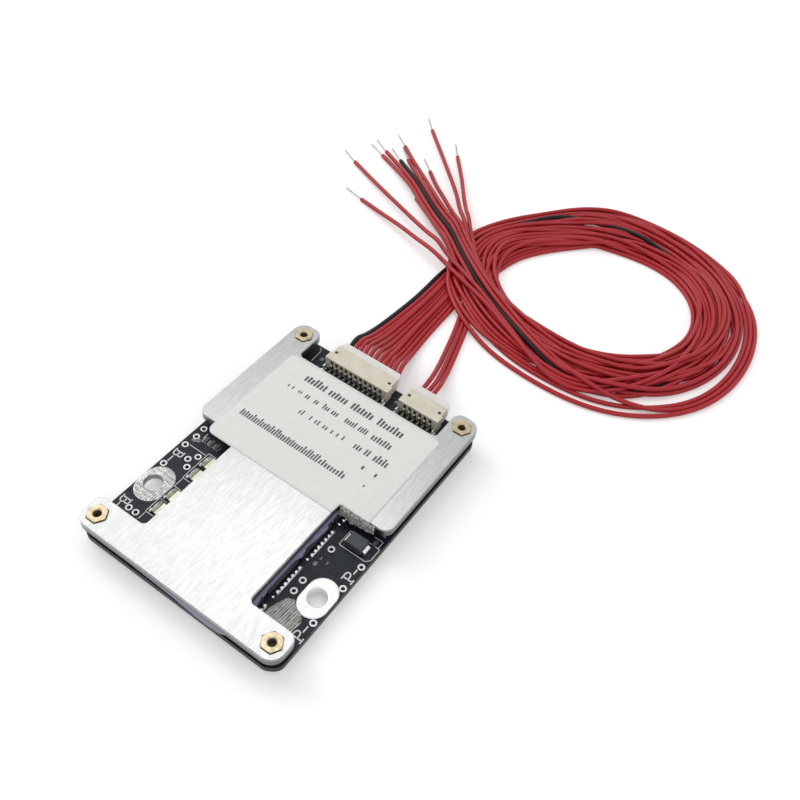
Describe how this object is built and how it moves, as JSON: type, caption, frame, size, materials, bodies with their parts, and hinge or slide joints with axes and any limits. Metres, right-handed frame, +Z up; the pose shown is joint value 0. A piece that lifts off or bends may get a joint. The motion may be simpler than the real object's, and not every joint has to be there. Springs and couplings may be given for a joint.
{
  "type": "battery management board",
  "caption": "Battery protection board under a notched aluminium heat plate, with two plugged-in flat wire looms wound into a coil.",
  "frame": {"origin": "centre of the board's footprint, on the surface it lies on", "axes": "+X from the battery terminal to the pack terminal, +Y towards the connectors, +Z up"},
  "size_m": [0.1428, 0.1863, 0.0081],
  "materials": {
    "board": "satin solder mask",
    "plate": "brushed",
    "paper_label": "semi-gloss print",
    "brass": "plain",
    "steel_screw": "zinc plated",
    "silicone_pad": "soft matte",
    "epoxy": "moulded matte",
    "tin": "tinned, satin",
    "header_nylon": "moulded satin",
    "plug_nylon": "translucent moulded",
    "shunt_body": "coated metal",
    "chip_ceramic": "fired",
    "wire_red": "silicone, satin",
    "wire_black": "silicone, satin"
  },
  "bodies": {
    "root": {"circuit_board": "board", "heat_plate": "plate", "label": "paper_label", "hex_standoffs": "brass", "board_screws": "steel_screw", "thermal_pad": "silicone_pad", "charge_mosfets": "epoxy", "discharge_mosfets": "epoxy", "mosfet_leads": "tin", "shunt_resistors": "shunt_body", "shunt_caps": "tin", "battery_pad": "tin", "pack_pad": "tin", "solder_ridges": "tin", "plated_rings": "tin", "header_large": "header_nylon", "header_small": "header_nylon", "header_pins": "tin", "header_tabs": "tin", "plug_large": "plug_nylon", "plug_small": "plug_nylon", "crimp_contacts": "brass", "diode": "epoxy", "diode_terminals": "tin", "chip_parts": "chip_ceramic", "controller_ic": "epoxy", "controller_pins": "tin", "balance_resistors": "epoxy", "balance_transistors": "epoxy", "wire_coil": "wire_red", "stripped_ends": "tin", "lead_1": "wire_black", "tail_1": "wire_red", "lead_2": "wire_red", "tail_2": "wire_red", "lead_3": "wire_red", "tail_3": "wire_red", "lead_4": "wire_red", "tail_4": "wire_red", "lead_5": "wire_red", "tail_5": "wire_black", "lead_6": "wire_red", "tail_6": "wire_red", "lead_7": "wire_red", "tail_7": "wire_red", "lead_8": "wire_red", "tail_8": "wire_red", "lead_9": "wire_red", "tail_9": "wire_red", "lead_10": "wire_red", "tail_10": "wire_red", "lead_11": "wire_red", "tail_11": "wire_red", "lead_12": "wire_red", "tail_12": "wire_red", "lead_13": "wire_red", "tail_13": "wire_red", "lead_14": "wire_red", "tail_14": "wire_red"}
  },
  "joints": []
}
